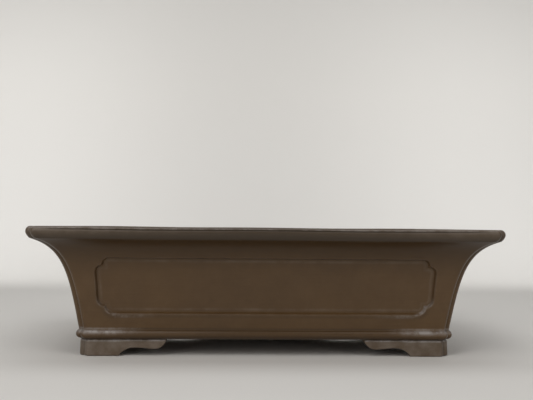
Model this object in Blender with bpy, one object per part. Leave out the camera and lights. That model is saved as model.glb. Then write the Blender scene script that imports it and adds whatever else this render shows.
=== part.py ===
"""Unglazed rectangular bonsai pot, built up from slabs and strips of clay.

The pot stands on four cloud-cut corner feet. A floor slab is edged with a round belt strip, and
four flaring walls stand on it and carry a broad lip. Every corner has a small square step in it
from the feet to the lip, and each wall has a sunk window panel.

Units are metres. +Z is up, +X runs along the length and the front faces -Y. The origin is on the
ground at the middle of the footprint.
"""

import math

import bmesh
import bpy
from mathutils import Vector

# Overall size
RIM_LENGTH = 0.420
RIM_DEPTH = 0.320
HEIGHT = 0.117
OVERHANG = 0.0395  # of the lip past the base of the walls

# Heights of the courses, and the joint left between pieces that touch
FOOT_HEIGHT = 0.0154
BELT_HEIGHT = 0.0091
RIM_HEIGHT = 0.0106
JOINT = 0.0003

BELT_BOTTOM = FOOT_HEIGHT
WALL_BOTTOM = FOOT_HEIGHT + BELT_HEIGHT
RIM_BOTTOM = HEIGHT - RIM_HEIGHT

# Plan of the base of the walls. Offsets below are measured outwards from it.
BASE_X = RIM_LENGTH / 2 - OVERHANG
BASE_Y = RIM_DEPTH / 2 - OVERHANG

# Stepped corners
STEP = 0.0052
ARRIS_RADIUS = 0.0038
STEP_RADIUS = 0.0010
INNER_RADIUS = 0.013

# Sections of the walls as (offset, height above the base of the wall) of Bezier points
WALL_OUTSIDE = ((0.0, 0.0), (0.0084, 0.0502), (0.0127, 0.0732), (0.0365, 0.0819))
WALL_INSIDE = ((-0.0095, 0.0), (-0.002, 0.052), (0.003, 0.076), (0.0235, 0.0822))
WALL_LEVELS = 12

# Lip: a band that is fullest just over half height and has a flat top
RIM_FULLEST = 0.0062  # above the underside of the lip
RIM_UNDERCUT = 0.0030
RIM_TOP_ROUND = 0.0030
RIM_TOP_POWER = 2.4
RIM_STEPS = 4
RIM_INNER_OFFSET = 0.0245
RIM_INNER_ROUND = 0.0015

# Belt: a round strip let into the edge of the floor
BELT_SINK = 0.0024  # centre of the bead inside the wall face
BELT_BACK_OFFSET = -0.005
BELT_STEPS = 8

# Feet: L-shaped in plan, with a cloud outline below, given for the long arm
FOOT_TOP_OFFSET = -0.0016
FOOT_SOLE_OFFSET = -0.0011
FOOT_CHAMFER = 0.0007
FOOT_THICKNESS = 0.0145
FOOT_ARM = 0.079
FOOT_SOLE = 0.0365
CLOUD_CUSP = (0.051, 0.0076)
CLOUD_LOBE = (0.0685, 0.0063)
CLOUD_STEPS = 6
SHORT_ARM_SCALE = 0.75

# Window panels
WINDOW_MARGIN = 0.0180  # from the base corner of a wall to the side of its window
WINDOW_BOTTOM = WALL_BOTTOM + 0.0146
WINDOW_TOP = WALL_BOTTOM + 0.0643
WINDOW_DEPTH = 0.0027
WINDOW_STEP = 0.0068
WINDOW_ARRIS_RADIUS = 0.0060
WINDOW_STEP_RADIUS = 0.001

# Holes in the floor
DRAIN_RADIUS = 0.017
DRAIN_X = 0.085
DRAIN_SIDES = 32
WIRE_HOLE_RADIUS = 0.0035
WIRE_HOLE_SIDES = 16
WIRE_HOLE_X = 0.140
WIRE_HOLE_Y = 0.070

REACH = 0.30  # past the outside of the pot, for cutters
CLEAR = 0.002  # by which cutters run past the faces they cut
ARC_STEPS = 3
SHARP_ANGLE = math.radians(35)

# Fired clay, as (linear colour, roughness)
BURNISHED_WALL = ((0.088, 0.056, 0.034), 0.42)
BURNISHED_LIP = ((0.082, 0.058, 0.041), 0.45)
BURNISHED_BELT = ((0.072, 0.045, 0.026), 0.38)
RUBBED_FOOT = ((0.108, 0.080, 0.060), 0.52)
RAW_FLOOR = ((0.112, 0.078, 0.054), 0.80)


def clear_scene():
    for item in list(bpy.data.objects):
        bpy.data.objects.remove(item, do_unlink=True)


def collection(name):
    group = bpy.data.collections.new(name)
    bpy.context.scene.collection.children.link(group)
    return group


def clay(name, finish):
    colour, roughness = finish
    material = bpy.data.materials.new(name)
    material.use_nodes = True
    shader = material.node_tree.nodes["Principled BSDF"]
    shader.inputs["Base Color"].default_value = (*colour, 1.0)
    shader.inputs["Roughness"].default_value = roughness
    shader.inputs["Metallic"].default_value = 0.0
    return material


# ---- Outlines and sections ----


def arc_corner(before, corner, after, radius, steps):
    """Points of the arc that rounds one corner of a polygon."""
    into = (before - corner).normalized()
    out = (after - corner).normalized()
    half_angle = into.angle(out) / 2
    centre = corner + (into + out).normalized() * radius / math.sin(half_angle)
    tangent = radius / math.tan(half_angle)
    start = corner + into * tangent - centre
    end = corner + out * tangent - centre
    begin = math.atan2(start.y, start.x)
    sweep = math.atan2(start.x * end.y - start.y * end.x, start.dot(end))
    points = []
    for step in range(steps + 1):
        angle = begin + sweep * step / steps
        points.append(centre + Vector((math.cos(angle), math.sin(angle))) * radius)
    return points


def rounded(corners, steps=ARC_STEPS):
    """Outline of a polygon whose corners are given as (x, y, radius)."""
    outline = []
    for index, (x, y, radius) in enumerate(corners):
        before = Vector(corners[index - 1][:2])
        after = Vector(corners[(index + 1) % len(corners)][:2])
        outline += arc_corner(before, Vector((x, y)), after, radius, steps)
    return outline


def stepped_outline(half_x, half_y, step=STEP, arris=ARRIS_RADIUS, inner=STEP_RADIUS):
    """Rectangle with a square step in each corner, anticlockwise."""
    corners = []
    for side_x, side_y in ((1, 1), (-1, 1), (-1, -1), (1, -1)):
        run = [
            (side_x * half_x, side_y * (half_y - step), arris),
            (side_x * (half_x - step), side_y * (half_y - step), inner),
            (side_x * (half_x - step), side_y * half_y, arris),
        ]
        corners += run if side_x == side_y else run[::-1]
    return rounded(corners)


def plan(offset):
    """Stepped plan of the pot at an offset from the base of the walls."""
    return stepped_outline(BASE_X + offset, BASE_Y + offset)


def inner_plan(offset):
    """Plan of the inside, with plain rounded corners."""
    half_x = BASE_X + offset
    half_y = BASE_Y + offset
    corners = ((1, 1), (-1, 1), (-1, -1), (1, -1))
    return rounded([(x * half_x, y * half_y, INNER_RADIUS) for x, y in corners], 2 * ARC_STEPS)


def bezier(points, parameter):
    first, second, third, fourth = (Vector(point) for point in points)
    rest = 1 - parameter
    return (
        first * rest**3
        + second * 3 * rest**2 * parameter
        + third * 3 * rest * parameter**2
        + fourth * parameter**3
    )


def wall_section(points):
    """(offset, z) along a wall, from its base to the underside of the lip."""
    steps = [bezier(points, level / WALL_LEVELS) for level in range(WALL_LEVELS + 1)]
    return [(offset, WALL_BOTTOM + height) for offset, height in steps]


def wall_levels(inset=0.0):
    """Outside of the walls, cut level a joint's width under the lip."""
    section = [(offset - inset, z) for offset, z in wall_section(WALL_OUTSIDE)]
    last, top = section[-2:]
    level = RIM_BOTTOM - JOINT
    share = (level - last[1]) / (top[1] - last[1])
    section[-1] = (last[0] + share * (top[0] - last[0]), level)
    return section


def soil_levels():
    """Inside of the pot, from under the walls, round the inner edge of the lip, to above it."""
    levels = wall_section(WALL_INSIDE)
    levels.insert(0, (levels[0][0], WALL_BOTTOM - CLEAR))
    for step in range(ARC_STEPS + 1):
        angle = math.pi / 2 * step / ARC_STEPS
        offset = RIM_INNER_OFFSET + RIM_INNER_ROUND * (1 - math.cos(angle))
        levels.append((offset, HEIGHT - RIM_INNER_ROUND * (1 - math.sin(angle))))
    levels.append((levels[-1][0], HEIGHT + CLEAR))
    return levels


def rim_levels():
    """Rounded face of the lip, drawn in below and above the level where it is fullest."""
    fullest = RIM_BOTTOM + RIM_FULLEST
    levels = []
    for step in range(-RIM_STEPS, RIM_STEPS + 1):
        share = abs(step) / RIM_STEPS
        if step < 0:
            levels.append((OVERHANG - RIM_UNDERCUT * share**2, fullest - RIM_FULLEST * share))
        else:
            rise = (HEIGHT - fullest) * share
            levels.append((OVERHANG - RIM_TOP_ROUND * share**RIM_TOP_POWER, fullest + rise))
    return levels


def belt_levels():
    radius = (BELT_HEIGHT - JOINT) / 2
    levels = []
    for step in range(BELT_STEPS + 1):
        angle = math.pi * (step / BELT_STEPS - 0.5)
        offset = radius * math.cos(angle) - BELT_SINK
        levels.append((offset, BELT_BOTTOM + radius + radius * math.sin(angle)))
    return levels


def foot_levels():
    top = FOOT_HEIGHT - JOINT
    return [
        (FOOT_SOLE_OFFSET - FOOT_CHAMFER, 0.0),
        (FOOT_SOLE_OFFSET, FOOT_CHAMFER),
        (FOOT_TOP_OFFSET, top - FOOT_CHAMFER),
        (FOOT_TOP_OFFSET - FOOT_CHAMFER, top),
    ]


def cloud_outline(half_length, scale):
    """Space between two feet, seen from the side, as (distance from the middle, z)."""
    cusp_x, cusp_z = CLOUD_CUSP
    lobe_x, lobe_z = CLOUD_LOBE
    hollow = []
    lobe_end = []
    for step in range(CLOUD_STEPS + 1):
        angle = math.pi / 2 * step / CLOUD_STEPS
        hollow_x = cusp_x - (cusp_x - FOOT_SOLE) * math.cos(angle)
        hollow.append((hollow_x, cusp_z * math.sin(angle)))
        lobe_end_x = lobe_x + (FOOT_ARM - lobe_x) * math.sin(angle)
        lobe_end.append((lobe_end_x, FOOT_HEIGHT - (FOOT_HEIGHT - lobe_z) * math.cos(angle)))
    sole = [(FOOT_SOLE, -CLEAR)]
    root = [(FOOT_ARM, FOOT_HEIGHT + CLEAR)]
    side = [(half_length - x * scale, z) for x, z in sole + hollow + lobe_end + root]
    return [Vector(point) for point in side] + [Vector((-x, z)) for x, z in reversed(side)]


# ---- Solids ----


def add_object(name, mesh, group):
    item = bpy.data.objects.new(name, mesh)
    group.objects.link(item)
    return item


def loft_mesh(name, levels, outline):
    """Solid through the outlines at each (offset, z), closed at both ends.

    The corner steps keep their size while the pot widens, so no two sections are alike.
    """
    shape = bmesh.new()
    rings = []
    for offset, z in levels:
        rings.append([shape.verts.new((x, y, z)) for x, y in outline(offset)])
    for lower, upper in zip(rings, rings[1:]):
        for index in range(len(lower)):
            after = (index + 1) % len(lower)
            shape.faces.new((lower[index], lower[after], upper[after], upper[index]))
    shape.faces.new(rings[0][::-1])
    shape.faces.new(rings[-1])
    mesh = bpy.data.meshes.new(name)
    shape.to_mesh(mesh)
    shape.free()
    return mesh


def flat_across(edge):
    """Whether an edge only divides a flat cap, whose faces all lie at one height."""
    heights = {round(corner.co.z, 6) for face in edge.link_faces for corner in face.verts}
    return len(heights) == 1


def prism_mesh(name, outline, thickness):
    """Flat outline in XY, extruded by half its thickness each way."""
    curve = bpy.data.curves.new(name, "CURVE")
    curve.dimensions = "2D"
    curve.fill_mode = "BOTH"
    curve.extrude = thickness / 2
    spline = curve.splines.new("POLY")
    spline.points.add(len(outline) - 1)
    for point, (x, y) in zip(spline.points, outline):
        point.co = (x, y, 0.0, 1.0)
    spline.use_cyclic_u = True
    item = add_object(name, curve, bpy.context.scene.collection)
    evaluated = item.evaluated_get(bpy.context.evaluated_depsgraph_get())
    mesh = bpy.data.meshes.new_from_object(evaluated)
    bpy.data.objects.remove(item, do_unlink=True)
    bpy.data.curves.remove(curve)
    shape = bmesh.new()
    shape.from_mesh(mesh)
    bmesh.ops.remove_doubles(shape, verts=shape.verts, dist=0.000001)
    inner_edges = [edge for edge in shape.edges if flat_across(edge)]
    bmesh.ops.dissolve_edges(shape, edges=inner_edges, use_verts=False)
    shape.to_mesh(mesh)
    shape.free()
    mesh.name = name
    return mesh


def cut(item, cutter, operation="DIFFERENCE"):
    modifier = item.modifiers.new(cutter.name, "BOOLEAN")
    modifier.operation = operation
    modifier.solver = "EXACT"
    modifier.object = cutter


def cutter(name, mesh, location=(0, 0, 0), rotation=(0, 0, 0)):
    item = add_object(name, mesh, bpy.data.collections["cutters"])
    item.location = location
    item.rotation_euler = rotation
    item.hide_render = True
    item.display_type = "WIRE"
    return item


def piece(name, mesh, finish):
    item = add_object(name, mesh, bpy.data.collections["bonsai_pot"])
    item.data.materials.append(clay(name, finish))
    item.data.shade_smooth()
    item.data.set_sharp_from_angle(angle=SHARP_ANGLE)
    return item


# ---- Cutters ----


def mitre_cutters():
    """One block for each side of the pot, meeting the next along the mitre of the corner."""
    length_over_depth = BASE_X - BASE_Y
    half_joint = JOINT / 2 * math.sqrt(2)
    near = length_over_depth - half_joint
    far = near + REACH
    long_side = [(-far, -REACH), (far, -REACH), (near, 0.0), (-near, 0.0)]
    tip = length_over_depth + half_joint
    short_side = [(tip, 0.0), (tip + REACH, -REACH), (tip + REACH, REACH)]
    blocks = {}
    for side, outline, turn in (
        ("front", long_side, 0.0),
        ("back", long_side, math.pi),
        ("right", short_side, 0.0),
        ("left", short_side, math.pi),
    ):
        name = f"mitre_{side}"
        mesh = prism_mesh(name, outline, HEIGHT + 4 * CLEAR)
        blocks[side] = cutter(name, mesh, (0, 0, HEIGHT / 2), (0, 0, turn))
    return blocks


def window_cutters():
    """Sunk windows: their outline cut straight in, down to a surface that follows the wall."""
    core = cutter("window_bed", loft_mesh("window_bed", window_bed_levels(), plan))
    half_height = (WINDOW_TOP - WINDOW_BOTTOM) / 2
    middle = (WINDOW_TOP + WINDOW_BOTTOM) / 2
    windows = {}
    for side, half_length, distance, turn in (
        ("front", BASE_X, -BASE_Y, 0.0),
        ("back", BASE_X, BASE_Y, 0.0),
        ("right", BASE_Y, BASE_X, math.pi / 2),
        ("left", BASE_Y, -BASE_X, math.pi / 2),
    ):
        name = f"window_{side}"
        half_width = half_length - WINDOW_MARGIN
        outline = stepped_outline(
            half_width, half_height, WINDOW_STEP, WINDOW_ARRIS_RADIUS, WINDOW_STEP_RADIUS
        )
        mesh = prism_mesh(name, outline, 4 * OVERHANG)
        along_x = side in ("right", "left")
        location = (distance, 0, middle) if along_x else (0, distance, middle)
        windows[side] = cutter(name, mesh, location, (math.pi / 2, 0, turn))
        cut(windows[side], core)
    return windows


def window_bed_levels():
    levels = wall_levels(inset=WINDOW_DEPTH)
    first, last = levels[0], levels[-1]
    return [(first[0], first[1] - CLEAR)] + levels + [(last[0], last[1] + CLEAR)]


def cloud_cutters():
    """Spaces between the feet, across the pot and along it."""
    long_space = cloud_outline(BASE_X + FOOT_SOLE_OFFSET, 1.0)
    short_space = cloud_outline(BASE_Y + FOOT_SOLE_OFFSET, SHORT_ARM_SCALE)
    long_mesh = prism_mesh("cloud_long", long_space, 2 * REACH)
    short_mesh = prism_mesh("cloud_short", short_space, 2 * REACH)
    return [
        cutter("cloud_long", long_mesh, rotation=(math.pi / 2, 0, 0)),
        cutter("cloud_short", short_mesh, rotation=(math.pi / 2, 0, math.pi / 2)),
    ]


def quarter_cutter(name, side_x, side_y):
    corners = ((0, 0), (REACH, 0), (REACH, REACH), (0, REACH))
    if side_x != side_y:
        corners = corners[::-1]
    outline = [(side_x * x, side_y * y) for x, y in corners]
    return cutter(name, prism_mesh(name, outline, 2 * FOOT_HEIGHT + 2 * CLEAR))


# ---- Sub-parts ----


def drill_cutter(name, x, y, radius, sides):
    """Upright cylinder through the floor."""
    shape = bmesh.new()
    bmesh.ops.create_cone(
        shape, cap_ends=True, segments=sides, radius1=radius, radius2=radius, depth=4 * BELT_HEIGHT
    )
    mesh = bpy.data.meshes.new(name)
    shape.to_mesh(mesh)
    shape.free()
    return cutter(name, mesh, (x, y, BELT_BOTTOM))


def make_floor():
    thickness = BELT_HEIGHT - JOINT
    mesh = prism_mesh("floor_slab", plan(BELT_BACK_OFFSET - JOINT), thickness)
    floor = piece("floor_slab", mesh, RAW_FLOOR)
    floor.location.z = BELT_BOTTOM + thickness / 2
    for side_x, end in ((-1, "left"), (1, "right")):
        name = f"drain_hole_{end}"
        cut(floor, drill_cutter(name, side_x * DRAIN_X, 0, DRAIN_RADIUS, DRAIN_SIDES))
        for side_y, row in ((-1, "front"), (1, "back")):
            name = f"wire_hole_{row}_{end}"
            x = side_x * WIRE_HOLE_X
            y = side_y * WIRE_HOLE_Y
            cut(floor, drill_cutter(name, x, y, WIRE_HOLE_RADIUS, WIRE_HOLE_SIDES))


def make_belt(mitres):
    back = prism_mesh("belt_back_face", plan(BELT_BACK_OFFSET), BELT_HEIGHT + 2 * CLEAR)
    middle = BELT_BOTTOM + BELT_HEIGHT / 2
    hollow = cutter("belt_back_face", back, (0, 0, middle))
    for side, block in mitres.items():
        mesh = loft_mesh(f"belt_{side}", belt_levels(), plan)
        belt = piece(f"belt_{side}", mesh, BURNISHED_BELT)
        cut(belt, hollow)
        cut(belt, block, "INTERSECT")


def make_walls(mitres, windows, soil_space):
    for side, block in mitres.items():
        mesh = loft_mesh(f"wall_{side}", wall_levels(), plan)
        wall = piece(f"wall_{side}", mesh, BURNISHED_WALL)
        cut(wall, soil_space)
        cut(wall, block, "INTERSECT")
        cut(wall, windows[side])


def make_lip(mitres, soil_space):
    for side, block in mitres.items():
        mesh = loft_mesh(f"lip_{side}", rim_levels(), plan)
        lip = piece(f"lip_{side}", mesh, BURNISHED_LIP)
        cut(lip, soil_space)
        cut(lip, block, "INTERSECT")


def make_feet():
    back = FOOT_TOP_OFFSET - FOOT_THICKNESS
    hollow_mesh = prism_mesh("foot_back_face", inner_plan(back), 2 * FOOT_HEIGHT + 2 * CLEAR)
    hollow = cutter("foot_back_face", hollow_mesh)
    clouds = cloud_cutters()
    for side_y, row in ((-1, "front"), (1, "back")):
        for side_x, end in ((-1, "left"), (1, "right")):
            name = f"foot_{row}_{end}"
            foot = piece(name, loft_mesh(name, foot_levels(), plan), RUBBED_FOOT)
            cut(foot, quarter_cutter(f"{name}_corner", side_x, side_y), "INTERSECT")
            cut(foot, hollow)
            for space in clouds:
                cut(foot, space)


def main():
    clear_scene()
    collection("bonsai_pot")
    collection("cutters")
    mitres = mitre_cutters()
    windows = window_cutters()
    soil_space = cutter("soil_space", loft_mesh("soil_space", soil_levels(), inner_plan))
    make_floor()
    make_belt(mitres)
    make_walls(mitres, windows, soil_space)
    make_lip(mitres, soil_space)
    make_feet()


main()
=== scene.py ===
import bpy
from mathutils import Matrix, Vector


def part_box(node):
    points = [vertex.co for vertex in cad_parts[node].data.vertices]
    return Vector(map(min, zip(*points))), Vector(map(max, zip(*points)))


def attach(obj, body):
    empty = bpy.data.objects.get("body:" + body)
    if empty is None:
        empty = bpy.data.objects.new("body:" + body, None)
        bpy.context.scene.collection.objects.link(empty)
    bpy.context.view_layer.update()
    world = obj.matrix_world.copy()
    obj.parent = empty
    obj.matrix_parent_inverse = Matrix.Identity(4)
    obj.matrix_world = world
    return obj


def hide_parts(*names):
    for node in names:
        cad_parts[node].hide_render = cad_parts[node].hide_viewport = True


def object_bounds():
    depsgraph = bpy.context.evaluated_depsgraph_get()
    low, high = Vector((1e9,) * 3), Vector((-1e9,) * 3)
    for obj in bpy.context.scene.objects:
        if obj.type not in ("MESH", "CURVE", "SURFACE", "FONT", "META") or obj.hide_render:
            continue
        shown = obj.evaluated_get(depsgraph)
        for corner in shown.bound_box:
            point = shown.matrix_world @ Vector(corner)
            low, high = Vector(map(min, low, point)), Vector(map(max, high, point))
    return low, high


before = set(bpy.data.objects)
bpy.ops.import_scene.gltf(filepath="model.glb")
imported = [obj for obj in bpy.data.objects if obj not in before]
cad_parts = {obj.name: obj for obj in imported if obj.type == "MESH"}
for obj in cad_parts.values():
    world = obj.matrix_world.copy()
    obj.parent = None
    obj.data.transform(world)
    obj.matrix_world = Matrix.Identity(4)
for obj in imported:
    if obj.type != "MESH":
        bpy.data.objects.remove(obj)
cad_box = [list(map(float, corner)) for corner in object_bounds()]

import math

import bmesh
import bpy
import numpy as np
from mathutils import Matrix, Vector

# A burnished, unglazed bonsai pot. Walls, lip and belt are swept along the stepped plan of the
# pot: a closed section is carried round one side, from the mitre at one corner to the mitre at
# the next. Along a side, s runs along it and d runs outwards from the middle of the pot.
# Units are metres, and angles are in degrees until they are used.

# ---- Plan and heights ----

HALF_X, HALF_Y, HEIGHT = cad_box[1]
OVERHANG = 0.0395  # of the lip past the base of the walls
BASE_X = HALF_X - OVERHANG
BASE_Y = HALF_Y - OVERHANG

LIP_BOTTOM = float(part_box("lip_front")[0][2])
BELT_BOTTOM = float(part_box("belt_front")[0][2])
BELT_TOP = float(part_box("belt_front")[1][2])
WALL_BOTTOM = float(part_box("wall_front")[0][2])
FLOOR_BOTTOM, FLOOR_TOP = (float(corner[2]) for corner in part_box("floor_slab"))

STEP = 0.0052
ARRIS_RADIUS = 0.0038
STEP_RADIUS = 0.0010
INNER_RADIUS = 0.013
EMBED = 0.0010  # how far a piece runs on into the one above or below it
SIDES = {"front": 0, "right": 1, "back": 2, "left": 3}  # quarter turns from the front

# ---- Sections, as offsets outwards from the base of the walls ----

WALL_OUTSIDE = ((0.0, 0.0), (0.0084, 0.0502), (0.0127, 0.0732), (0.0365, 0.0819))
WALL_INSIDE = ((-0.0095, 0.0), (-0.002, 0.052), (0.003, 0.076), (0.0235, 0.0822))
LUTE_RADIUS = 0.007  # of the clay smoothed into the joint between floor and walls

LIP_FULLEST = 0.0062  # above the underside of the lip
LIP_UNDERCUT = 0.0030
LIP_SHOULDER = 0.0030
LIP_SHOULDER_POWER = 1.1
LIP_DISH = 0.00025
LIP_JOINT = 0.0002  # by which the underside of the lip reaches down over the wall
LIP_CREASE = 0.0009  # depth of the line tooled under the shoulder
LIP_CREASE_WIDTH = 0.00055
LIP_CREASE_HEIGHT = HEIGHT - 0.0022
LIP_INNER_OFFSET = 0.0245
LIP_INNER_ROUND = 0.0018

BELT_SINK = 0.0024  # centre of the bead inside the wall face
BELT_SPREAD = 0.00015  # by which the bead is fatter than its course
BELT_BACK = -0.006

# ---- Windows ----

WINDOW_MARGIN = 0.018
WINDOW_BOTTOM = WALL_BOTTOM + 0.0146
WINDOW_TOP = WALL_BOTTOM + 0.0643
WINDOW_DEPTH = 0.0027
WINDOW_STEP = 0.0066
WINDOW_RADIUS = 0.0062
WINDOW_FILLET = 0.0009  # half the width over which the edge of the window rounds over
WINDOW_FLARE = 0.045  # how much a window widens for each metre it rises
WINDOW_SOFTNESS = 0.0012  # of the inner angle of its corner steps

# ---- Spacing of rows and columns ----

FINE = 0.00045  # along the edge of a window
FINE_REACH = 0.002  # past the rounded corners of a window
FINE_BELOW = 0.0015  # under a window
FINE_ABOVE = 0.0025  # over a window
LOW_ROWS = 0.0016
MIDDLE_ROWS = 0.0022
PANEL_COLUMNS = 0.0018
SPREAD_REACH = 0.0032  # kept for the columns that spread out as the wall flares
SPREAD_COLUMNS = 7
PLAIN_COLUMNS = 72  # of a side of the lip or the belt
ACROSS = 6  # rows across a hidden edge, ends included

# ---- Floor and feet ----

FLOOR_EDGE = 0.0008
FLOOR_TUCK = 0.003  # how far the floor runs under the back of the belt
DRAIN_RADIUS = 0.017
DRAIN_X = 0.085
DRAIN_SIDES = 96
WIRE_HOLE_RADIUS = 0.0035
WIRE_HOLE_X = 0.140
WIRE_HOLE_Y = 0.070
WIRE_HOLE_SIDES = 40

FOOT_TOP_OFFSET = -0.0016
FOOT_SOLE_OFFSET = -0.0011
FOOT_BEVEL = 0.0015
FOOT_BACK = -0.0168
FOOT_ARM = 0.079
FOOT_SOLE = 0.0365
FOOT_TOP = BELT_BOTTOM + EMBED
FOOT_FACE_TOP = BELT_BOTTOM - 0.0001
FOOT_ROOT = 0.0004  # height left at the very end of an arm, inside the belt
CLOUD_CUSP = (0.051, 0.0076)
CLOUD_LOBE = (0.0685, 0.0063)
CLOUD_POWER = 1.4
SHORT_ARM_SCALE = 0.75
LONG_SOLE_COLUMNS = 12
SHORT_SOLE_COLUMNS = 10

# ---- Unevenness left by hand ----

PULL = 0.00030  # inwards
PULL_SIZES = (0.09, 0.15, 0.23)  # of its waves
PULL_SEED = 3
SAG = 0.0005  # of the lip, half way to each corner
SAG_HALF_LENGTH = 0.19
MIDDLE_SAG = 0.0002

# ---- Wear of the clay, painted highlights and painted shade: shares from 0 to 1, and widths in metres ----

ARRIS_WEAR = 0.5
WALL_ARRIS_WEAR = 0.25  # share of the above that is left on the walls
WINDOW_EDGE_WEAR = (0.2, 0.0007)  # (share, width)
PANEL_EDGE_PALING = (0.35, 0.0011)
PANEL_EDGE = 0.0032  # inside the edge of the window
LEDGE_WIDTH = 0.0010  # of the painted highlight along the foot of a window
LEDGE_OFFSET = 0.0002
LEDGE_DROP = 0.0020  # further down on its straight part
LEDGE_EASE = 0.006
LEDGE_RISE = 0.016
LEDGE_LENGTH = 0.055
COVE_SHADE = 1.05  # painted shade under the lip
COVE_HEIGHT = 0.036
# painted shade towards the middle of each wall
WALL_MIDDLE_SHADE = 0.24
# painted shade round the edge of the window, and in a band below the window's foot
GROOVE_SHADE = (0.5, 0.0014)
GROOVE_EASE = 0.010
SILL_SHADE = (0.5, 0.0022)
SILL_OFFSET = 0.0026
BASE_SHADE = (0.8, 0.0010)  # painted shade where the wall meets the belt
BASE_SHADE_HEIGHT = 0.0004
# painted highlight on the wall just above the belt, near the ends of a side
BASE_PAINTED_HIGHLIGHT = (0.8, 0.0008)
# reach of the painted highlights near the ends of a side
END_EASE = 0.005
END_LENGTH = 0.030
BELT_PAINTED_HIGHLIGHT = (0.84, 0.28)  # painted highlight on the belt near its ends: (share of the height, spread)
# painted shade on the lower half of the belt, towards its middle and along its top
BELT_UNDER_SHADE = (0.9, 0.55)
BELT_MIDDLE_SHADE = 0.50
BELT_TOP_SHADE = 0.6
BELT_TOP_SHADE_FROM = 0.80
# the lip is made paler towards its corners and its top
LIP_END_PALING = 0.45
# painted shade towards the middle of the lip, and a painted highlight along its shoulder
LIP_MIDDLE_SHADE = 0.4
LIP_LINE_PAINTED_HIGHLIGHT = (0.55, 0.0005)
LIP_LINE_HEIGHT = LIP_CREASE_HEIGHT + 0.0010
CREASE_MARGIN = 0.012  # from the corner of the lip to where the crease has faded out
CREASE_EASE = 0.020
FOOT_WEAR = 0.80
FOOT_EDGE_WEAR = 0.6
FOOT_HIGHLIGHT_BELOW = 0.6  # rows of the foot's shoulder drawn in by less than this share of the bevel get a painted highlight
SHARP_ANGLE = 38
WELD_DISTANCE = 0.000002

# ---- Colours, linear ----


def clay(red, green, blue):
    return (red, green, blue, 1.0)


# Dark, middle and light tones of burnished clay, and ground, mottle and specks of raw clay
WALL_TONES = (clay(0.083, 0.0435, 0.0142), clay(0.104, 0.0555, 0.018), clay(0.127, 0.0735, 0.030))
LIP_TONES = (clay(0.076, 0.0485, 0.0255), clay(0.092, 0.0605, 0.033), clay(0.122, 0.089, 0.059))
RAW_TONES = (clay(0.105, 0.072, 0.048), clay(0.150, 0.108, 0.076), clay(0.070, 0.046, 0.030))
WORN = clay(0.204, 0.167, 0.136)
# colour of painted highlights
PAINTED_HIGHLIGHT_COLOUR = clay(0.290, 0.263, 0.245)
SHADED = 0.55  # share of the darkest tone that painted shade darkens the clay to
STAGE_COLOUR = (0.79, 0.775, 0.745, 1.0)
STAGE_NAP_COLOUR = (0.5, 0.49, 0.47, 1.0)
WARM = (1.0, 0.97, 0.94)
WHITE = (1.0, 1.0, 1.0)

# Noise: (scale, detail, roughness)
CLOUD = (16.0, 4.0, 0.55)
MOTTLE = (85.0, 5.0, 0.6)
FLECK = (240.0, 3.0, 0.6)
SPECK = (620.0, 1.0, 0.5)
NAP = (900.0, 3.0, 0.55)
GRAIN = (1500.0, 2.0, 0.5)
STREAK = (1.0, 3.0, 0.6)
STREAK_STRETCH = (22.0, 22.0, 620.0)  # long along a side, and fine across it


# ---- Shapes of curves ----


def ramp(value, length):
    """Rises from 0 to 1 over a length."""
    return np.clip(value / length, 0, 1)


def ridge(value, width):
    """1 at zero, falling away on both sides."""
    return np.exp(-((value / width) ** 2))


def bezier(points, count):
    first, second, third, fourth = np.array(points, float)
    t = np.linspace(0, 1, count)[:, None]
    rest = 1 - t
    return first * rest**3 + 3 * second * rest**2 * t + 3 * third * rest * t**2 + fourth * t**3


def wall_offset(points, height):
    curve = bezier(points, 400)
    return np.interp(height, curve[:, 1], curve[:, 0])


# ---- Plan of the pot ----


def arc(centre, radius, start, end, count):
    """Points of an arc, with its angles in degrees."""
    angle = np.radians(np.linspace(start, end, count))
    return np.stack([centre[0] + radius * np.cos(angle), centre[1] + radius * np.sin(angle)], 1)


def joined(*runs):
    """Runs of points end to end, leaving out each first point that repeats the last one."""
    return np.concatenate([runs[0]] + [run[1:] for run in runs[1:]])


def stepped_corner():
    """From the mitre in the corner's step to the start of the side, measured from the corner."""
    inner = arc((STEP - STEP_RADIUS, STEP_RADIUS - STEP), STEP_RADIUS, -45, 0, 5)
    face = np.linspace((STEP, STEP_RADIUS - STEP), (STEP, -ARRIS_RADIUS), 7)
    arris = arc((STEP + ARRIS_RADIUS, -ARRIS_RADIUS), ARRIS_RADIUS, 180, 90, 10)
    return joined(inner, face, arris)


CORNER = stepped_corner()
CORNER_WEAR = np.exp(-(((CORNER[:, 0] + CORNER[:, 1]) / STEP - 1.0) ** 2) / 0.02)


def side_points(start, flat_s, flat_d):
    """(columns, rows, 2) of (s, d): a corner, the columns between, and the corner mirrored."""
    corner_s, corner_d = start
    s = np.concatenate([corner_s, flat_s, -corner_s[::-1]])
    d = np.concatenate([corner_d, flat_d, corner_d[::-1]])
    return np.stack([s, d], 2)


def outer_points(half_length, distance, flat, offset):
    """Points on the stepped plan, at an offset for each row.

    flat holds the columns between the corners, as (s, share): a column lies at s, moved by
    share of the way from the end of the fixed columns to the end of the side.
    """
    corner_s = -(half_length + offset) + CORNER[:, :1]
    corner_d = distance + offset + CORNER[:, 1:]
    end = half_length + offset - STEP - ARRIS_RADIUS
    fixed, share = flat
    flat_s = fixed[:, None] + share[:, None] * (end - np.abs(fixed).max())
    flat_d = np.broadcast_to(distance + offset, flat_s.shape)
    return side_points((corner_s, corner_d), flat_s, flat_d)


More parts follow.
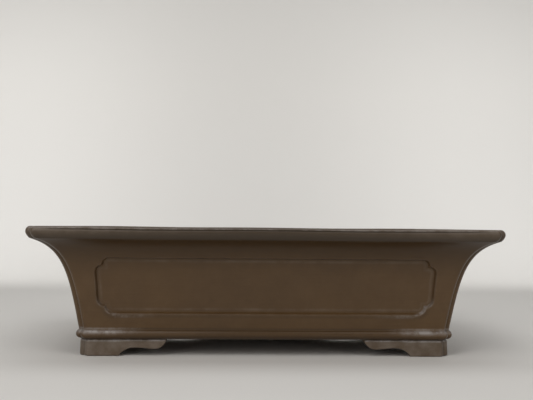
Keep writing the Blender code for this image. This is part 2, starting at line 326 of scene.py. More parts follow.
def inner_points(half_length, distance, flat, offset):
    """The same columns on the inside, evenly spread between plainly rounded corners."""
    corner = arc((INNER_RADIUS, -INNER_RADIUS), INNER_RADIUS, 135, 90, len(CORNER))
    corner_s = -(half_length + offset) + corner[:, :1]
    corner_d = distance + offset + corner[:, 1:]
    place = np.linspace(-1, 1, len(flat[0])) / 1.01
    flat_s = place[:, None] * (half_length + offset - INNER_RADIUS)
    flat_d = np.broadcast_to(distance + offset, flat_s.shape)
    return side_points((corner_s, corner_d), flat_s, flat_d)


def even_columns(half_length):
    """Columns spread evenly between the corners, which move out with the end of the side."""
    share = np.linspace(-1, 1, PLAIN_COLUMNS + 2)[1:-1]
    return share * (half_length - STEP - ARRIS_RADIUS), share


def window_columns(half_length):
    """Columns of a wall, close together along the sides of its window."""
    limit = half_length - STEP - ARRIS_RADIUS - SPREAD_REACH
    corner = half_length - WINDOW_MARGIN - WINDOW_STEP - WINDOW_RADIUS - FINE_REACH
    middle = np.linspace(-corner, corner, int(corner / PANEL_COLUMNS))
    edge = np.arange(corner + FINE, limit, FINE)
    ends = np.full(SPREAD_COLUMNS, limit)
    spread = np.linspace(0, 1, SPREAD_COLUMNS + 2)[1:-1]
    fixed = np.concatenate([-ends, -edge[::-1], middle, edge, ends])
    share = np.concatenate([-spread[::-1], np.zeros(2 * len(edge) + len(middle)), spread])
    return fixed, share


# ---- Sections ----


class Section:
    """A closed section: each row blends from the outer plan to the inner one.

    outer and inner are offsets, share is the blend from 0, outside, to 1, inside, and raw marks
    clay that was left unburnished.
    """

    def __init__(self):
        self.rows = []

    def add(self, outer, inner, share, z, raw=0.0):
        values = (outer, inner, share, z, raw)
        count = max(np.size(value) for value in values)
        self.rows.append(np.stack([np.broadcast_to(value, count) for value in values], 1))

    def columns(self):
        return np.concatenate(self.rows).T


def between(start, end, count=ACROSS):
    """Evenly spread values, without the two ends."""
    return np.linspace(start, end, count)[1:-1]


def wall_rows():
    """Levels of the outside of a wall, close together where the window has its corners."""
    corner = WINDOW_STEP + WINDOW_RADIUS + FINE_REACH
    below = WINDOW_BOTTOM - FINE_BELOW
    above = WINDOW_TOP + FINE_ABOVE
    levels = [
        np.arange(BELT_TOP - EMBED, below, LOW_ROWS),
        np.arange(below, WINDOW_BOTTOM + corner, FINE),
        np.arange(WINDOW_BOTTOM + corner, WINDOW_TOP - corner, MIDDLE_ROWS),
        np.arange(WINDOW_TOP - corner, above, FINE),
        np.linspace(above, LIP_BOTTOM + EMBED, 20),
    ]
    return np.concatenate(levels)


def wall_section():
    section = Section()
    outside = wall_rows()
    section.add(wall_offset(WALL_OUTSIDE, outside - WALL_BOTTOM), 0.0, 0.0, outside)
    top = LIP_BOTTOM + EMBED
    outer_top = wall_offset(WALL_OUTSIDE, top - WALL_BOTTOM)
    section.add(outer_top, LIP_INNER_OFFSET, between(0, 1), top)
    inside = np.linspace(LIP_BOTTOM, FLOOR_TOP, 44)
    offset = wall_offset(WALL_INSIDE, inside - WALL_BOTTOM)
    lute = LUTE_RADIUS * (1 - np.sqrt(1 - (1 - ramp(inside - FLOOR_TOP, LUTE_RADIUS)) ** 2))
    section.add(0.0, LIP_INNER_OFFSET, 1.0, top, raw=1.0)
    section.add(0.0, offset - lute, 1.0, inside, raw=1.0)
    inner_foot = offset[-1] - lute[-1]
    bottom = BELT_TOP - EMBED
    section.add(0.0, inner_foot, 1.0, bottom, raw=1.0)
    section.add(0.0, inner_foot, between(1, 0), bottom)
    return section


def lip_section():
    section = Section()
    fullest = LIP_BOTTOM + LIP_FULLEST
    below = np.linspace(1, 0, 9)
    face = OVERHANG - LIP_UNDERCUT * below**2
    section.add(face, 0.0, 0.0, fullest - LIP_FULLEST * below)
    turn = np.radians(np.linspace(0, 90, 37)[1:])
    shoulder_z = fullest + (HEIGHT - fullest) * np.sin(turn)
    shoulder = OVERHANG - LIP_SHOULDER * (1 - np.cos(turn) ** LIP_SHOULDER_POWER)
    section.add(shoulder, 0.0, 0.0, shoulder_z)
    arris = LIP_INNER_OFFSET + LIP_INNER_ROUND
    across = between(0, 1, 12)
    section.add(shoulder[-1], arris, across, HEIGHT - LIP_DISH * np.sin(np.pi * across))
    turn = np.radians(np.linspace(90, 0, 8))
    edge = LIP_INNER_OFFSET + LIP_INNER_ROUND * (1 - np.cos(turn))
    edge_z = HEIGHT - LIP_INNER_ROUND * (1 - np.sin(turn))
    section.add(0.0, edge, 1.0, edge_z, np.linspace(0, 0.6, 8))
    down = np.linspace(0, 1, 7)[1:]
    bottom = LIP_BOTTOM - LIP_JOINT
    wall_top = wall_offset(WALL_INSIDE, LIP_BOTTOM - WALL_BOTTOM)
    inner = LIP_INNER_OFFSET + (wall_top - LIP_INNER_OFFSET) * down**2
    section.add(0.0, inner, 1.0, edge_z[-1] + (bottom - edge_z[-1]) * down, 0.6 + 0.4 * down)
    section.add(face[0], inner[-1], between(1, 0), bottom)
    return section


def belt_section():
    section = Section()
    radius = (BELT_TOP - BELT_BOTTOM) / 2 + BELT_SPREAD
    turn = np.radians(np.linspace(-90, 90, 25))
    bead_z = (BELT_TOP + BELT_BOTTOM) / 2 + radius * np.sin(turn)
    section.add(radius * np.cos(turn) - BELT_SINK, 0.0, 0.0, bead_z)
    section.add(BELT_BACK, 0.0, 0.0, bead_z[-1])
    section.add(BELT_BACK, 0.0, 0.0, bead_z[0])
    return section


# ---- Meshes ----


def ripple(points, sizes, seed):
    """Smooth unevenness between 0 and 1, from a few crossed waves."""
    draw = np.random.default_rng(seed)
    total = np.zeros(points.shape[:-1])
    for size in sizes:
        for _ in range(3):
            direction = draw.normal(size=3)
            direction /= np.linalg.norm(direction)
            phase = draw.uniform(0, 2 * np.pi)
            total += np.sin(points @ direction * 2 * np.pi / size + phase)
    return 0.5 + 0.5 * total / (3 * len(sizes))


def settled(points):
    """Points drawn in a little and unevenly towards the middle, as a hand-finished pot is."""
    pull = PULL * ripple(points, PULL_SIZES, PULL_SEED)
    moved = points.copy()
    radius = np.maximum(np.hypot(points[..., 0], points[..., 1]), 0.02)
    moved[..., 0] -= pull * points[..., 0] / radius
    moved[..., 1] -= pull * points[..., 1] / radius
    middle = np.clip(1 - np.abs(points[..., 0]) / BASE_X, 0, 1)
    sag = np.sin(np.pi * np.clip(points[..., 0] / SAG_HALF_LENGTH + 1, 0, 2)) ** 2
    moved[..., 2] -= (MIDDLE_SAG * middle + SAG * sag) * ramp(points[..., 2], HEIGHT) ** 4
    return moved


def to_world(s, d, z, turns):
    """Puts (s, d, z) of the front side in place, turned round to another side."""
    x, y = s, -d
    for _ in range(turns):
        x, y = -y, x
    return np.stack([x, y, np.broadcast_to(z, x.shape)], -1)


def grid_faces(columns, rows):
    """Quads of a tube of closed rows, with a face over each end."""
    column, row = np.meshgrid(np.arange(columns - 1), np.arange(rows), indexing="ij")
    following = (row + 1) % rows
    quads = np.stack(
        [
            column * rows + row,
            (column + 1) * rows + row,
            (column + 1) * rows + following,
            column * rows + following,
        ],
        -1,
    ).reshape(-1, 4)
    first = list(range(rows))
    last = [(columns - 1) * rows + row for row in reversed(range(rows))]
    return quads.tolist() + [first, last]


def weld(mesh):
    """Joins points that lie together and turns every face outwards."""
    shape = bmesh.new()
    shape.from_mesh(mesh)
    bmesh.ops.remove_doubles(shape, verts=shape.verts, dist=WELD_DISTANCE)
    bmesh.ops.recalc_face_normals(shape, faces=shape.faces)
    shape.to_mesh(mesh)
    shape.free()


def smooth_shade(mesh):
    mesh.shade_smooth()
    mesh.set_sharp_from_angle(angle=math.radians(SHARP_ANGLE))


def make_mesh(name, points, fields):
    """Mesh of a (columns, rows, 3) grid of points, with a value of each field at every point."""
    mesh = bpy.data.meshes.new(name)
    mesh.from_pydata(points.reshape(-1, 3).tolist(), [], grid_faces(*points.shape[:2]))
    for field, values in fields.items():
        attribute = mesh.attributes.new(field, "FLOAT", "POINT")
        attribute.data.foreach_set("value", np.asarray(values, np.float32).ravel())
    weld(mesh)
    smooth_shade(mesh)
    mesh.validate()
    return mesh


def add_piece(node, mesh, material, slot):
    piece = bpy.data.objects.new(f"pot_{node}", mesh)
    bpy.context.scene.collection.objects.link(piece)
    piece.data.materials.append(material)
    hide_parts(node)
    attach(piece, "root")


# ---- Swept sides ----


class Surface:
    """One swept side: its plan and levels, how its clay is worn, and where it has painted
    highlights and painted shade.

    plan is (columns, rows, 2) of (s, d), share is 0 on outside rows and 1 on inside ones, and
    everything else is (columns, rows).
    """

    def __init__(self, half_length, distance, section, columns):
        outer, inner, self.share, z, raw = section.columns()
        outside = outer_points(half_length, distance, columns, outer)
        inside = inner_points(half_length, distance, columns, inner)
        share = self.share[None, :, None]
        self.half_length = half_length
        self.plan = outside * (1 - share) + inside * share
        shape = self.plan.shape[:2]
        self.levels = np.broadcast_to(z, shape).copy()
        self.raw = np.broadcast_to(raw, shape)
        self.painted_highlight = np.zeros(shape)
        self.shade = np.zeros(shape)
        ends = np.zeros(shape[0])
        ends[: len(CORNER)] = ARRIS_WEAR * CORNER_WEAR
        ends[-len(CORNER) :] = ARRIS_WEAR * CORNER_WEAR[::-1]
        self.wear = ends[:, None] * (1 - self.share)

    def fields(self):
        return {"raw": self.raw, "wear": self.wear, "painted_highlight": self.painted_highlight, "shade": self.shade}


def sweep(course, side, section, columns, material, slot, carve_and_paint_light):
    """Carries a section round one side of the pot, then shapes and paints it: wear, painted
    highlights and painted shade.
    """
    turns = SIDES[side]
    half_length, distance = (BASE_X, BASE_Y) if turns % 2 == 0 else (BASE_Y, BASE_X)
    surface = Surface(half_length, distance, section(), columns(half_length))
    carve_and_paint_light(surface)
    points = to_world(surface.plan[..., 0], surface.plan[..., 1], surface.levels, turns)
    node = f"{course}_{side}"
    mesh = make_mesh(f"pot_{node}", settled(points), surface.fields())
    add_piece(node, mesh, material, slot)


def rounded_box(s, z, half_s, half_z, radius):
    """Distance from the edge of a rounded box, negative inside it."""
    across = np.abs(s) - half_s + radius
    up = np.abs(z) - half_z + radius
    outside = np.hypot(np.maximum(across, 0), np.maximum(up, 0))
    return outside + np.minimum(np.maximum(across, up), 0) - radius


def window_distance(s, z, half_length):
    """Distance from the edge of a window with stepped corners, negative inside it."""
    middle = (WINDOW_TOP + WINDOW_BOTTOM) / 2
    half_height = (WINDOW_TOP - WINDOW_BOTTOM) / 2
    half_width = half_length - WINDOW_MARGIN + WINDOW_FLARE * (z - middle)
    wide = rounded_box(s, z - middle, half_width, half_height - WINDOW_STEP, WINDOW_RADIUS)
    tall = rounded_box(s, z - middle, half_width - WINDOW_STEP, half_height, WINDOW_RADIUS)
    mix = np.clip(0.5 + 0.5 * (tall - wide) / WINDOW_SOFTNESS, 0, 1)
    return tall * (1 - mix) + wide * mix - WINDOW_SOFTNESS * mix * (1 - mix)


def near_end(half_length, s):
    """Weight of the painted highlight near each end of a side."""
    from_end = half_length - np.abs(s)
    return ramp(from_end, END_EASE) * np.clip(1 - (from_end - END_LENGTH) / END_LENGTH, 0, 1)


def carve_window(surface):
    """Sinks the window along the normal of the wall, wears its edges paler, and paints highlights
    and shade about it and over the wall.
    """
    outside = surface.share == 0
    half_length = surface.half_length
    s = surface.plan[:, outside, 0]
    z = surface.levels[:, outside]
    distance = window_distance(s, z, half_length)
    on_face = np.zeros((len(s), 1))
    on_face[len(CORNER) : -len(CORNER)] = 1

    depth = ramp(WINDOW_FILLET - distance, 2 * WINDOW_FILLET)
    depth = WINDOW_DEPTH * depth**2 * (3 - 2 * depth) * on_face
    height = z[0] - WALL_BOTTOM
    slope = np.gradient(wall_offset(WALL_OUTSIDE, height), height)
    length = np.hypot(slope, 1)
    surface.plan[:, outside, 1] -= depth / length
    surface.levels[:, outside] += depth * slope / length

    share, width = WINDOW_EDGE_WEAR
    edge = share * ridge(distance - WINDOW_FILLET, width)
    # a paler line just inside the edge of the window
    share, width = PANEL_EDGE_PALING
    edge += share * ridge(distance + PANEL_EDGE, width)
    surface.wear[:, outside] += edge * on_face
    surface.wear[: len(CORNER)] *= WALL_ARRIS_WEAR
    surface.wear[-len(CORNER) :] *= WALL_ARRIS_WEAR

    # painted highlight along the foot of the window near its corners, and on the wall just above
    # the belt near its ends
    side_margin = half_length - WINDOW_MARGIN - np.abs(s)
    straight = ramp(side_margin - WINDOW_STEP - WINDOW_RADIUS, LEDGE_EASE)
    ledge_highlight = ridge(distance - LEDGE_OFFSET - LEDGE_DROP * straight, LEDGE_WIDTH)
    ledge_highlight *= np.clip(1 - (z - WINDOW_BOTTOM) / LEDGE_RISE, 0, 1)
    ledge_highlight *= np.clip(1 - side_margin / LEDGE_LENGTH, 0, 1)
    share, width = BASE_PAINTED_HIGHLIGHT
    above_belt_highlight = share * near_end(half_length, s) * ridge(z - WALL_BOTTOM, width)
    surface.painted_highlight[:, outside] = ledge_highlight * on_face + above_belt_highlight

    # painted shade under the lip and towards the middle of the wall
    cove = np.clip(COVE_SHADE - (LIP_BOTTOM - z) / COVE_HEIGHT, 0, 1)
    cove = np.maximum(cove, WALL_MIDDLE_SHADE * (1 - (s / half_length) ** 2))
    # painted shade round the window, in a band below its foot, and where the wall meets the belt
    rise = ramp(z - WINDOW_BOTTOM, GROOVE_EASE)
    share, width = GROOVE_SHADE
    groove = share * rise * ridge(distance, width)
    share, width = SILL_SHADE
    groove += share * (1 - rise) * ridge(distance - SILL_OFFSET, width)
    share, width = BASE_SHADE
    base = share * ridge(z - WALL_BOTTOM - BASE_SHADE_HEIGHT, width)
    groove = groove * on_face + base * (1 - near_end(half_length, s))
    surface.shade[:, outside] = np.maximum(cove, groove)


def paint_belt_light(surface):
    """Paints a highlight on the upper half of the belt near its ends, and shade on its lower half,
    towards its middle and along its top.
    """
    height = (surface.levels - BELT_BOTTOM) / (BELT_TOP - BELT_BOTTOM)
    s = surface.plan[..., 0]
    at_end = near_end(surface.half_length, s)
    centre, spread = BELT_PAINTED_HIGHLIGHT
    surface.painted_highlight = at_end * ridge(height - centre, spread)
    share, reach = BELT_UNDER_SHADE
    shade = share * np.clip(1 - height / reach, 0, 1)
    shade += BELT_MIDDLE_SHADE * (1 - (s / surface.half_length) ** 2)
    top = ramp(height - BELT_TOP_SHADE_FROM, 1 - BELT_TOP_SHADE_FROM)
    surface.shade = shade + BELT_TOP_SHADE * top * (1 - at_end)


def crease_and_paint_lip(surface):
    """The lip is paler towards its corners, has a line tooled in it, and has painted shade
    underneath, towards its middle and in that line, and a painted highlight just above it.
    """
    s = surface.plan[..., 0]
    levels = surface.levels
    outside = 1 - surface.share
    along = ramp(np.abs(s), surface.half_length)
    height = ramp(levels - LIP_BOTTOM, HEIGHT - LIP_BOTTOM)
    # paler towards the corners and the top
    surface.wear += LIP_END_PALING * along**2 * height * outside
    end = surface.half_length + OVERHANG - CREASE_MARGIN
    crease = ramp(end - np.abs(s), CREASE_EASE)
    crease *= ridge(levels - LIP_CREASE_HEIGHT, LIP_CREASE_WIDTH) * (surface.share == 0)
    surface.plan[..., 1] -= LIP_CREASE * crease
    # painted shade: darker towards the bottom, towards the middle and in the crease
    surface.shade = ((1 - height) + LIP_MIDDLE_SHADE * (1 - along**2)) * outside + crease
    # painted highlight along the shoulder just above the crease
    share, width = LIP_LINE_PAINTED_HIGHLIGHT
    surface.painted_highlight = share * ridge(levels - LIP_LINE_HEIGHT, width) * (surface.share == 0)


# ---- Feet ----


def cloud_arm(scale):
    """(distance from the end of the foot, underside) along one arm, from its sole to its root."""
    cusp_x, cusp_z = CLOUD_CUSP
    lobe_x, lobe_z = CLOUD_LOBE
    turn = np.radians(np.linspace(0, 90, 15))
    hollow_x = cusp_x - (cusp_x - FOOT_SOLE) * np.cos(turn)
    hollow = np.stack([hollow_x, cusp_z * np.sin(turn) ** CLOUD_POWER], 1)
    ease = np.linspace(0, 1, 9)
    fall = 0.5 - 0.5 * np.cos(np.pi * ease)
    lobe = np.stack([cusp_x + (lobe_x - cusp_x) * ease, cusp_z + (lobe_z - cusp_z) * fall], 1)
    turn = np.radians(np.linspace(0, 90, 19))
    end_x = lobe_x + (FOOT_ARM - lobe_x) * np.sin(turn)
    end = np.stack([end_x, FOOT_TOP - (FOOT_TOP - lobe_z) * np.cos(turn)], 1)
    arm = joined(hollow, lobe, end)
    arm[:, 0] *= scale
    arm[:, 1] = np.minimum(arm[:, 1], FOOT_TOP - FOOT_ROOT)
    return arm


def foot_stations():
    """Outer and inner plan, underside and wear at each station, from one arm's root to the other.

    The foot is that of the +X +Y corner. Stations are measured from its outer corner.
    """
    long_arm = cloud_arm(1.0)[::-1]
    short_arm = cloud_arm(SHORT_ARM_SCALE)
    start = STEP + ARRIS_RADIUS
    long_sole = between(FOOT_SOLE, start, LONG_SOLE_COLUMNS + 2)
    short_sole = between(start, FOOT_SOLE * SHORT_ARM_SCALE, SHORT_SOLE_COLUMNS + 2)
    first = CORNER[::-1] * (-1, 1)
    corner = np.concatenate([first, first[::-1, ::-1][1:]])
    x = -np.concatenate([long_arm[:, 0], long_sole])
    y = -np.concatenate([short_sole, short_arm[:, 0]])
    along_x = np.stack([x, np.zeros(len(x))], 1)
    along_y = np.stack([np.zeros(len(y)), y], 1)
    outer = np.concatenate([along_x, corner, along_y])
    sole = np.zeros(len(long_sole) + len(corner) + len(short_sole))
    under = np.concatenate([long_arm[:, 1], sole, short_arm[:, 1]])
    wear = np.zeros(len(outer))
    corner_wear = np.concatenate([CORNER_WEAR[::-1], CORNER_WEAR[1:]])
    wear[len(x) : len(x) + len(corner)] = corner_wear
    back = FOOT_BACK - FOOT_SOLE_OFFSET
    turned = int((outer[:, 0] > back - INNER_RADIUS).argmax())
    ended = len(outer) - int((outer[::-1, 1] > back - INNER_RADIUS).argmax())
    inner = outer.copy()
    inner[:turned, 1] = back
    inner[ended:, 0] = back
    centre = (back - INNER_RADIUS, back - INNER_RADIUS)
    inner[turned:ended] = arc(centre, INNER_RADIUS, 90, 0, ended - turned)
    return outer, inner, under, wear


def foot_underside():
    """(share from the outer to the inner plan, share of the bevel's height), in two runs.

    The first run is the bevel of the outer edge, and the second goes on to the inner face.
    """
    bevel = FOOT_BEVEL / (FOOT_SOLE_OFFSET - FOOT_BACK)
    turn = np.radians(np.linspace(0, 90, 6))
    outer_edge = list(zip(bevel * (1 - np.cos(turn)), 1 - np.sin(turn)))
    strip = [(share, 0.0) for share in between(bevel, 1 - bevel, 7)]
    inner_edge = [(1 - share, rise) for share, rise in reversed(outer_edge)]
    return outer_edge, strip + inner_edge


def make_foot(row_name, end_name, side_x, side_y, material):
    outer, inner, under, wear_along = foot_stations()
    outer_edge, rest = foot_underside()
    lean = FOOT_TOP_OFFSET - FOOT_SOLE_OFFSET
    outward = np.sign(outer - inner) * (np.abs(outer - inner) > 1e-5)
    bevel = np.minimum(FOOT_BEVEL, 0.5 * (FOOT_TOP - under))
    edge_top = under + bevel
    shoulder = FOOT_FACE_TOP - FOOT_BEVEL
    rows = []
    wears = []
    painted_highlights = []

    def row(share, height, drawn_in=0.0, edge=0.0, highlight_share=0.0):
        """A row at each height, share of the way inwards, drawn in by a share of the bevel."""
        level = np.clip(height, under, FOOT_TOP)
        shift = (lean * level / FOOT_TOP - drawn_in * FOOT_BEVEL) * (1 - share)
        plan = outer + (inner - outer) * share + outward * shift[:, None]
        rows.append(np.concatenate([plan, level[:, None]], 1))
        wears.append(np.clip(wear_along * (1 - share) + edge + FOOT_WEAR, 0, 1))
        painted_highlights.append(np.full(len(outer), highlight_share))

    row(0.0, FOOT_TOP, drawn_in=1.0)
    # the lower rows of the shoulder, shadowed by the belt, get a painted highlight
    for drawn_in, drop in ((1.0, 0.0), (0.55, 0.25), (0.2, 0.6), (0.0, 1.0)):
        height = np.maximum(FOOT_FACE_TOP - drop * FOOT_BEVEL, edge_top)
        row(0.0, height, drawn_in, highlight_share=float(drawn_in < FOOT_HIGHLIGHT_BELOW))
    for fraction in np.linspace(0.9, 0.15, 6):
        row(0.0, np.maximum(edge_top + (shoulder - edge_top) * fraction, edge_top))
    for share, rise in outer_edge:
        row(share, under + rise * bevel, edge=FOOT_EDGE_WEAR)
    burnished_rows = len(rows)
    for share, rise in rest:
        row(share, under + rise * bevel)
    for fraction in np.linspace(0.2, 1.0, 5):
        row(1.0, edge_top + (FOOT_TOP - edge_top) * fraction)

    points = np.stack(rows, 1)
    points[..., :2] += (BASE_X + FOOT_SOLE_OFFSET, BASE_Y + FOOT_SOLE_OFFSET)
    points[..., :2] *= (side_x, side_y)
    wear = np.stack(wears, 1)
    raw = np.zeros_like(wear)
    raw[:, burnished_rows:] = 1.0
    fields = {"raw": raw, "wear": wear, "painted_highlight": np.stack(painted_highlights, 1)}
    node = f"foot_{row_name}_{end_name}"
    add_piece(node, make_mesh(f"pot_{node}", settled(points), fields), material, "rubbed_clay")


# ---- Floor ----


def floor_outline():
    half_x = BASE_X + BELT_BACK + FLOOR_TUCK
    half_y = BASE_Y + BELT_BACK + FLOOR_TUCK
    outline = []
    for turns, (half_length, distance) in enumerate(((half_x, half_y), (half_y, half_x)) * 2):
        s = np.concatenate([-half_length + CORNER[:, 0], half_length - CORNER[::-1, 0]])
        d = np.concatenate([distance + CORNER[:, 1], distance + CORNER[::-1, 1]])
        outline.append(to_world(s, d, 0.0, turns)[:-1, :2])
    return np.concatenate(outline)


def make_floor(material):
    """Floor slab with its holes, whose edges are wiped round."""
    curve = bpy.data.curves.new("pot_floor_slab", "CURVE")
    curve.dimensions = "2D"
    curve.fill_mode = "BOTH"
    curve.extrude = (FLOOR_TOP - FLOOR_BOTTOM) / 2 - FLOOR_EDGE
    curve.bevel_depth = FLOOR_EDGE
    curve.bevel_resolution = 3
    curve.offset = -FLOOR_EDGE
    holes = [(side * DRAIN_X, 0.0, DRAIN_RADIUS, DRAIN_SIDES) for side in (-1, 1)]
    for x in (-WIRE_HOLE_X, WIRE_HOLE_X):
        for y in (-WIRE_HOLE_Y, WIRE_HOLE_Y):
            holes.append((x, y, WIRE_HOLE_RADIUS, WIRE_HOLE_SIDES))
    loops = [floor_outline()]
    for x, y, radius, sides in holes:
        loops.append(arc((x, y), radius, 0, -360, sides + 1)[:-1])
    for loop in loops:
        spline = curve.splines.new("POLY")
        spline.points.add(len(loop) - 1)
        spline.use_cyclic_u = True
        for point, (x, y) in zip(spline.points, loop):
            point.co = (x, y, 0.0, 1.0)
    guide = bpy.data.objects.new("floor_guide", curve)
    bpy.context.scene.collection.objects.link(guide)
    bpy.context.view_layer.update()
    evaluated = guide.evaluated_get(bpy.context.evaluated_depsgraph_get())
    mesh = bpy.data.meshes.new_from_object(evaluated)
    bpy.data.objects.remove(guide, do_unlink=True)
    mesh.transform(Matrix.Translation((0, 0, (FLOOR_TOP + FLOOR_BOTTOM) / 2)))
    weld(mesh)
    smooth_shade(mesh)
    mesh.materials.clear()
    add_piece("floor_slab", mesh, material, "raw_clay")


# ---- Nodes ----


def set_inputs(tree, node, values):
    """Links or sets inputs, given by name or by number."""
    for name, value in values.items():
        if isinstance(value, bpy.types.NodeSocket):
            tree.links.new(value, node.inputs[name])
        else:
            node.inputs[name].default_value = value


def add_node(tree, kind, inputs=None, **settings):
    node = tree.nodes.new(kind)
    for name, value in settings.items():
        setattr(node, name, value)
    set_inputs(tree, node, inputs or {})
    return node


def noise(tree, place, kind, stretch=None):
    if stretch:
        place = add_node(tree, "ShaderNodeMapping", {"Vector": place, "Scale": stretch}).outputs[0]
    scale, detail, roughness = kind
    inputs = {"Vector": place, "Scale": scale, "Detail": detail, "Roughness": roughness}
    return add_node(tree, "ShaderNodeTexNoise", inputs).outputs["Fac"]


def remap(tree, value, low, high, to_low=0.0, to_high=1.0):
    inputs = {"Value": value, "From Min": low, "From Max": high}
    inputs.update({"To Min": to_low, "To Max": to_high})
    return add_node(tree, "ShaderNodeMapRange", inputs).outputs["Result"]


def blend_colour(tree, share, first, second):
    inputs = {0: share, 6: first, 7: second}
    return add_node(tree, "ShaderNodeMix", inputs, data_type="RGBA").outputs[2]


def arithmetic(tree, operation, first, second):
    node = add_node(tree, "ShaderNodeMath", {0: first, 1: second}, operation=operation)
    return node.outputs[0]


def field(tree, name):
    return add_node(tree, "ShaderNodeAttribute", attribute_name=name).outputs["Fac"]


def bump(tree, height, strength, distance, under=None):
    """Bump over another bump, or straight on the surface."""
    inputs = {"Height": height, "Strength": strength, "Distance": distance}
    if under:
        inputs["Normal"] = under
    return add_node(tree, "ShaderNodeBump", inputs).outputs[0]


def new_material(name):
    material = bpy.data.materials.new(name)
    material.use_nodes = True
    tree = material.node_tree
    place = add_node(tree, "ShaderNodeTexCoord").outputs["Object"]
    return material, tree, tree.nodes["Principled BSDF"], place


# ---- Materials ----


def raw_clay(tree, mottle, grain, speck):
    """Colour and roughness of clay left unburnished: matt and specked."""
    colour = blend_colour(tree, remap(tree, mottle, 0.35, 0.7), RAW_TONES[0], RAW_TONES[1])
    colour = blend_colour(tree, remap(tree, speck, 0.62, 0.72, 0.0, 0.5), colour, RAW_TONES[2])
    return colour, remap(tree, grain, 0.3, 0.7, 0.78, 0.9)


def raw_material():
    material, tree, shader, place = new_material("raw_clay")
    mottle = noise(tree, place, MOTTLE)
    grain = noise(tree, place, GRAIN)
    speck = noise(tree, place, SPECK)
    colour, matt = raw_clay(tree, mottle, grain, speck)
    fine = bump(tree, grain, 0.25, 0.00012)
    coarse = bump(tree, speck, 0.6, 0.0006, fine)
    inputs = {"Base Color": colour, "Roughness": matt, "Specular IOR Level": 0.45, "Normal": coarse}
    set_inputs(tree, shader, inputs)
    return material


def burnished_colour(tree, tones, cloud, mottle, streak, grain):
    """Mottled clay with fine streaks along each side, and painted shade from the shade field in its
    hollows.
    """
    dark, middle, light = tones
    shaded = clay(*(SHADED * part for part in dark[:3]))
    colour = blend_colour(tree, remap(tree, cloud, 0.32, 0.68), dark, middle)
    colour = blend_colour(tree, remap(tree, mottle, 0.42, 0.78, 0.0, 0.55), colour, light)
    colour = blend_colour(tree, remap(tree, streak, 0.35, 0.75, 0.0, 0.20), colour, light)
    colour = blend_colour(tree, remap(tree, grain, 0.35, 0.65, 0.0, 0.18), colour, dark)
    return blend_colour(tree, field(tree, "shade"), colour, shaded)


def clay_material(name, tones, roughness):
    """Burnished stoneware with worn arrises, painted highlights, painted shade and raw clay inside.
    """
    material, tree, shader, place = new_material(name)
    cloud = noise(tree, place, CLOUD)
    mottle = noise(tree, place, MOTTLE)
    streak = noise(tree, place, STREAK, STREAK_STRETCH)
    grain = noise(tree, place, GRAIN)
    speck = noise(tree, place, SPECK)
    fleck = noise(tree, place, FLECK)

    colour = burnished_colour(tree, tones, cloud, mottle, streak, grain)
    patchy = remap(tree, mottle, 0.35, 0.7, 0.15, 0.75)
    edge = arithmetic(tree, "MULTIPLY", field(tree, "wear"), patchy)
    colour = blend_colour(tree, edge, colour, WORN)
    # uneven painted highlight, from its field
    coarse_share = remap(tree, mottle, 0.38, 0.58, 0.3, 1.0)
    fine_share = remap(tree, fleck, 0.36, 0.56, 0.45, 1.1)
    uneven = arithmetic(tree, "MULTIPLY", coarse_share, fine_share)
    highlight_patch = arithmetic(tree, "MULTIPLY", field(tree, "painted_highlight"), uneven)
    colour = blend_colour(tree, highlight_patch, colour, PAINTED_HIGHLIGHT_COLOUR)
    raw = field(tree, "raw")
    raw_colour, matt = raw_clay(tree, mottle, grain, speck)
    colour = blend_colour(tree, raw, colour, raw_colour)

    smooth = remap(tree, streak, 0.3, 0.7, roughness - 0.01, roughness + 0.03)
    smooth = arithmetic(tree, "SUBTRACT", smooth, arithmetic(tree, "MULTIPLY", highlight_patch, 0.1))
    span = arithmetic(tree, "SUBTRACT", matt, smooth)
    roughened = arithmetic(tree, "ADD", smooth, arithmetic(tree, "MULTIPLY", span, raw))

    fine = bump(tree, grain, 0.25, 0.00012)
    combed = bump(tree, streak, 0.025, 0.00025, fine)
    coarse = bump(tree, arithmetic(tree, "MULTIPLY", speck, raw), 0.6, 0.0006, combed)
    inputs = {"Base Color": colour, "Roughness": roughened, "Specular IOR Level": 0.45}
    set_inputs(tree, shader, {**inputs, "Normal": coarse})
    return material


def stage_material():
    material, tree, shader, place = new_material("pale_stage")
    nap = remap(tree, noise(tree, place, NAP), 0.3, 0.7, 0.0, 0.1)
    colour = blend_colour(tree, nap, STAGE_COLOUR, STAGE_NAP_COLOUR)
    set_inputs(tree, shader, {"Base Color": colour, "Roughness": 0.95, "Specular IOR Level": 0.1})
    return material


# ---- Stage, lights and camera ----


def make_stage():
    """Pale floor that sweeps up into a pale backdrop."""
    half_width = 3.0
    sweep_radius = 0.5
    wall_y = 1.4
    run = [(-2.5, 0.0), (wall_y - sweep_radius, 0.0)]
    bend = arc((wall_y - sweep_radius, sweep_radius), sweep_radius, -90, 0, 24).tolist()
    run = run + bend[1:] + [(wall_y, 3.0)]
    points = [(side * half_width, y, z) for y, z in run for side in (-1, 1)]
    faces = [[2 * i, 2 * i + 1, 2 * i + 3, 2 * i + 2] for i in range(len(run) - 1)]
    mesh = bpy.data.meshes.new("stage")
    mesh.from_pydata(points, [], faces)
    mesh.shade_smooth()
    stage = bpy.data.objects.new("stage", mesh)
    bpy.context.scene.collection.objects.link(stage)
    stage.data.materials.append(stage_material())


def add_light(name, place, target, size, power, colour=WHITE):
    light = bpy.data.lights.new(name, "AREA")
    light.shape = "RECTANGLE"
    light.size, light.size_y = size
    light.energy = power
    light.color = colour
    lamp = bpy.data.objects.new(name, light)
    bpy.context.scene.collection.objects.link(lamp)
    lamp.location = place
    aim = Vector(target) - Vector(place)
    lamp.rotation_euler = aim.to_track_quat("-Z", "Y").to_euler()


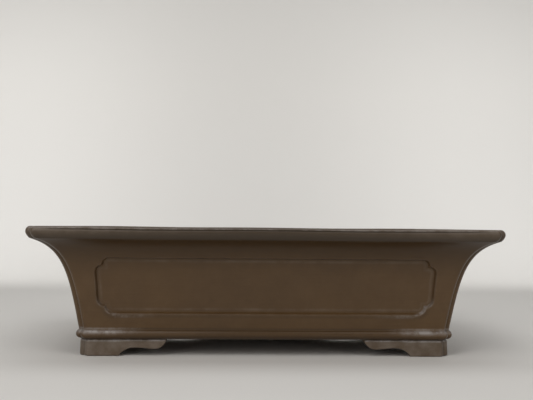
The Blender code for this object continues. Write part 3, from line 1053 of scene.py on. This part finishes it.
def make_lights():
    """Two tall soft boxes in front, one overhead, and one on the backdrop at each side."""
    world = bpy.data.worlds.new("room")
    world.use_nodes = True
    background = world.node_tree.nodes["Background"]
    background.inputs["Color"].default_value = (0.95, 0.97, 1.0, 1.0)
    background.inputs["Strength"].default_value = 0.14
    bpy.context.scene.world = world
    tall = (0.8, 2.0)
    add_light("left", (-0.76, -1.25, 1.00), (-0.10, -0.1, 0.10), tall, 13.0, WARM)
    add_light("right", (0.84, -1.20, 1.00), (0.10, -0.1, 0.10), tall, 7.2, WARM)
    add_light("top", (0.0, 0.20, 1.7), (0.0, 0.20, 0.0), (2.4, 1.0), 9.0)
    low = (0.8, 0.4)
    add_light("backdrop_left", (-0.74, 0.78, 0.50), (-0.74, 1.4, 0.26), low, 2.0)
    add_light("backdrop_right", (0.74, 0.78, 0.50), (0.74, 1.4, 0.26), low, 1.85)


def make_camera():
    """Straight on to the front, a little above the lip, and level but for a slight roll."""
    camera = bpy.data.cameras.new("camera")
    camera.sensor_width = 36.0
    camera.lens = 52.5
    view = bpy.data.objects.new("camera", camera)
    bpy.context.scene.collection.objects.link(view)
    yaw, pitch, roll = (math.radians(angle) for angle in (2.32, 1.94, 0.535))
    level = math.cos(pitch)
    ahead = Vector((math.sin(yaw) * level, math.cos(yaw) * level, math.sin(pitch)))
    right = Vector((math.cos(yaw), -math.sin(yaw), 0.0))
    up = right.cross(ahead)
    turned_right = right * math.cos(roll) + up * math.sin(roll)
    turned_up = up * math.cos(roll) - right * math.sin(roll)
    axes = Matrix((turned_right, turned_up, -ahead)).transposed().to_4x4()
    axes.translation = (-0.0294, -0.83, 0.1184)
    view.matrix_world = axes
    bpy.context.scene.camera = view


# ---- Build ----


def main():
    burnished = clay_material("burnished_clay", WALL_TONES, 0.31)
    rubbed = clay_material("rubbed_clay", LIP_TONES, 0.38)
    courses = (
        ("wall", wall_section, window_columns, burnished, "burnished_clay", carve_window),
        ("lip", lip_section, even_columns, rubbed, "rubbed_clay", crease_and_paint_lip),
        ("belt", belt_section, even_columns, burnished, "burnished_clay", paint_belt_light),
    )
    for side in SIDES:
        for course, section, columns, material, slot, carve_and_paint_light in courses:
            sweep(course, side, section, columns, material, slot, carve_and_paint_light)
    for side_y, row in ((-1, "front"), (1, "back")):
        for side_x, end in ((-1, "left"), (1, "right")):
            make_foot(row, end, side_x, side_y, rubbed)
    make_floor(raw_material())
    make_stage()
    make_lights()
    make_camera()
    bpy.context.scene.view_settings.view_transform = "Standard"


main()
